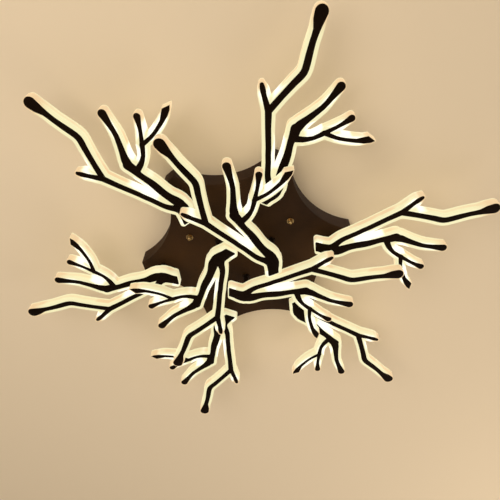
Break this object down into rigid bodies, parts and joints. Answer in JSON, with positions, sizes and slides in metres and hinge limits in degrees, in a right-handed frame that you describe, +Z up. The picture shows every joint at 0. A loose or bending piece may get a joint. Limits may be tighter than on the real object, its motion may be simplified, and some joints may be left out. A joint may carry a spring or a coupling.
{
  "type": "branch chandelier",
  "caption": "Ceiling light with a dark star-shaped pan and glowing acrylic branch heads on stems, an outer ring and a lower inner pinwheel.",
  "frame": {"origin": "middle of the canopy's opening, in the plane of the ceiling", "axes": "+Z up into the ceiling; the star's flat tips point to 30, 90, 150, 210, 270 and 330 degrees from +X about +Z, and the picture was taken from below on the -Y side"},
  "size_m": [0.9297, 1.0211, 0.114],
  "materials": {
    "canopy_paint": "satin dark brown paint",
    "plate_paint": "satin black-brown paint",
    "zinc_steel": "zinc plated",
    "dark_steel": "dark plated",
    "brass": "polished",
    "driver_case": "white moulded",
    "board": "white solder mask",
    "acrylic": "opal, glowing warm white"
  },
  "bodies": {
    "root": {"canopy": "canopy_paint", "ceiling_bracket": "zinc_steel", "hanger_studs": "zinc_steel", "cap_washers": "brass", "cap_nuts": "brass", "driver_1": "driver_case", "driver_2": "driver_case", "terminal_block": "driver_case", "fixing_screws": "zinc_steel", "stem_nuts": "dark_steel", "swivel_washers": "brass", "swivel_nuts": "dark_steel", "stem_1": "dark_steel", "stem_2": "dark_steel", "stem_3": "dark_steel", "stem_4": "dark_steel", "stem_5": "dark_steel", "stem_6": "dark_steel", "stem_7": "dark_steel", "stem_8": "dark_steel", "stem_9": "dark_steel"},
    "head_1": {"back_plate_1": "plate_paint", "diffuser_1": "acrylic", "light_board_1": "board", "face_plate_1": "plate_paint"},
    "head_2": {"back_plate_2": "plate_paint", "diffuser_2": "acrylic", "light_board_2": "board", "face_plate_2": "plate_paint"},
    "head_3": {"back_plate_3": "plate_paint", "diffuser_3": "acrylic", "light_board_3": "board", "face_plate_3": "plate_paint"},
    "head_4": {"back_plate_4": "plate_paint", "diffuser_4": "acrylic", "light_board_4": "board", "face_plate_4": "plate_paint"},
    "head_5": {"back_plate_5": "plate_paint", "diffuser_5": "acrylic", "light_board_5": "board", "face_plate_5": "plate_paint"},
    "head_6": {"back_plate_6": "plate_paint", "diffuser_6": "acrylic", "light_board_6": "board", "face_plate_6": "plate_paint"},
    "head_7": {"back_plate_7": "plate_paint", "diffuser_7": "acrylic", "light_board_7": "board", "face_plate_7": "plate_paint"},
    "head_8": {"back_plate_8": "plate_paint", "diffuser_8": "acrylic", "light_board_8": "board", "face_plate_8": "plate_paint"},
    "head_9": {"back_plate_9": "plate_paint", "diffuser_9": "acrylic", "light_board_9": "board", "face_plate_9": "plate_paint"}
  },
  "joints": [
    {"name": "turn_1", "type": "hinge", "parent": "root", "child": "head_1", "pos_m": [0.15935, 0.092, -0.064], "axis": [0, 0, 1], "range_deg": [-18, 18]},
    {"name": "turn_2", "type": "hinge", "parent": "root", "child": "head_2", "pos_m": [0, 0.184, -0.064], "axis": [0, 0, 1], "range_deg": [-18, 18]},
    {"name": "turn_3", "type": "hinge", "parent": "root", "child": "head_3", "pos_m": [-0.15935, 0.092, -0.064], "axis": [0, 0, 1], "range_deg": [-18, 18]},
    {"name": "turn_4", "type": "hinge", "parent": "root", "child": "head_4", "pos_m": [-0.15935, -0.092, -0.064], "axis": [0, 0, 1], "range_deg": [-18, 18]},
    {"name": "turn_5", "type": "hinge", "parent": "root", "child": "head_5", "pos_m": [0, -0.184, -0.064], "axis": [0, 0, 1], "range_deg": [-18, 18]},
    {"name": "turn_6", "type": "hinge", "parent": "root", "child": "head_6", "pos_m": [0.15935, -0.092, -0.064], "axis": [0, 0, 1], "range_deg": [-18, 18]},
    {"name": "turn_7", "type": "hinge", "parent": "root", "child": "head_7", "pos_m": [0.04178, -0.04979, -0.094], "axis": [0, 0, 1], "range_deg": [-1, 40]},
    {"name": "turn_8", "type": "hinge", "parent": "root", "child": "head_8", "pos_m": [0.02223, 0.06108, -0.094], "axis": [0, 0, 1], "range_deg": [-1, 40]},
    {"name": "turn_9", "type": "hinge", "parent": "root", "child": "head_9", "pos_m": [-0.06401, -0.01129, -0.094], "axis": [0, 0, 1], "range_deg": [-1, 40]}
  ]
}
